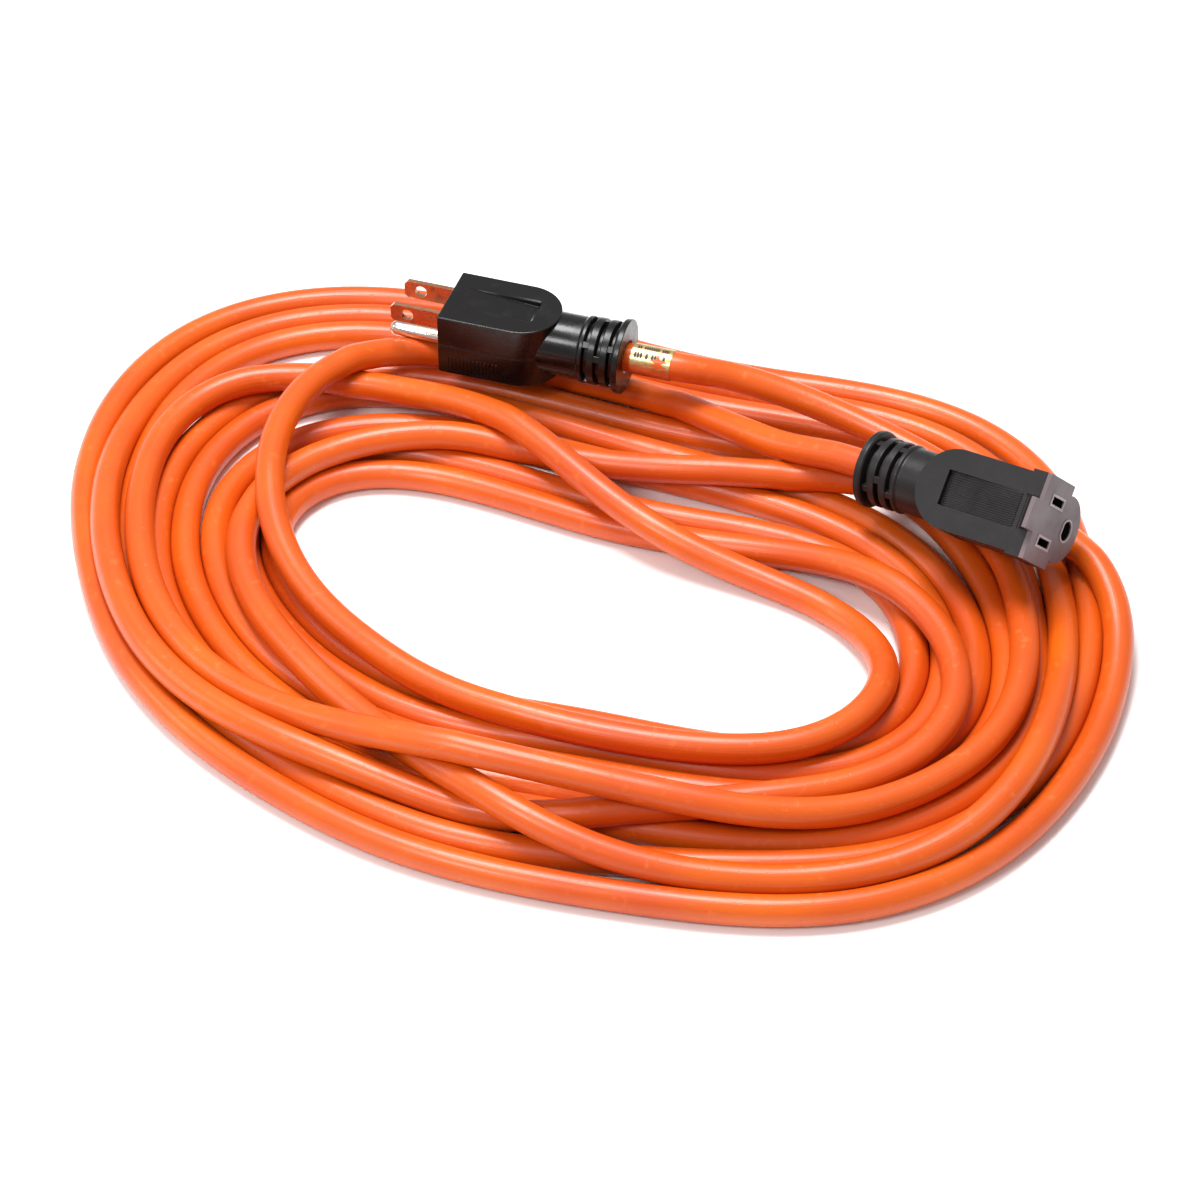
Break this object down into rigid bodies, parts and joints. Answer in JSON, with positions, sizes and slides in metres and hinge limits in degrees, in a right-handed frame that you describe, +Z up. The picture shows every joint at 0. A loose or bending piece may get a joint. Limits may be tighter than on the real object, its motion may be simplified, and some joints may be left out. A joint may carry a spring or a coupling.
{
  "type": "extension cord",
  "caption": "Outdoor three-wire extension cord coiled in a loose oval hank, with a moulded earthed plug and a moulded connector lying on top.",
  "frame": {"origin": "under the middle of the hank, on the surface it lies on", "axes": "+Z up; +X along the long way of the hank's box, towards the connector; +Y towards the plug"},
  "size_m": [0.325, 0.287, 0.0536],
  "materials": {
    "orange_jacket": "glossy flexible vinyl",
    "gold_foil": "gold foil film",
    "black_moulding": "satin flexible vinyl",
    "grey_face": "satin",
    "inner_block": "matte",
    "blade_brass": "stamped and polished",
    "contact_brass": "stamped",
    "nickel_pin": "bright nickel plate",
    "bare_copper": "bare strands",
    "black_insulation": "satin vinyl",
    "white_insulation": "satin vinyl",
    "green_insulation": "satin vinyl"
  },
  "bodies": {
    "root": {"cord_hank": "orange_jacket", "plug_lead": "orange_jacket", "connector_lead": "orange_jacket", "approval_label": "gold_foil", "plug_overmould": "black_moulding", "plug_bridge": "inner_block", "plug_blade_line": "blade_brass", "plug_blade_neutral": "blade_brass", "plug_earth_pin": "nickel_pin", "plug_wire_black": "black_insulation", "plug_wire_white": "white_insulation", "plug_wire_green": "green_insulation", "plug_copper_ends": "bare_copper", "connector_overmould": "black_moulding", "connector_face": "grey_face", "connector_rear_cap": "inner_block", "contact_line": "contact_brass", "contact_neutral": "contact_brass", "contact_earth": "contact_brass", "connector_wire_black": "black_insulation", "connector_wire_white": "white_insulation", "connector_wire_green": "green_insulation", "connector_copper_ends": "bare_copper"}
  },
  "joints": []
}
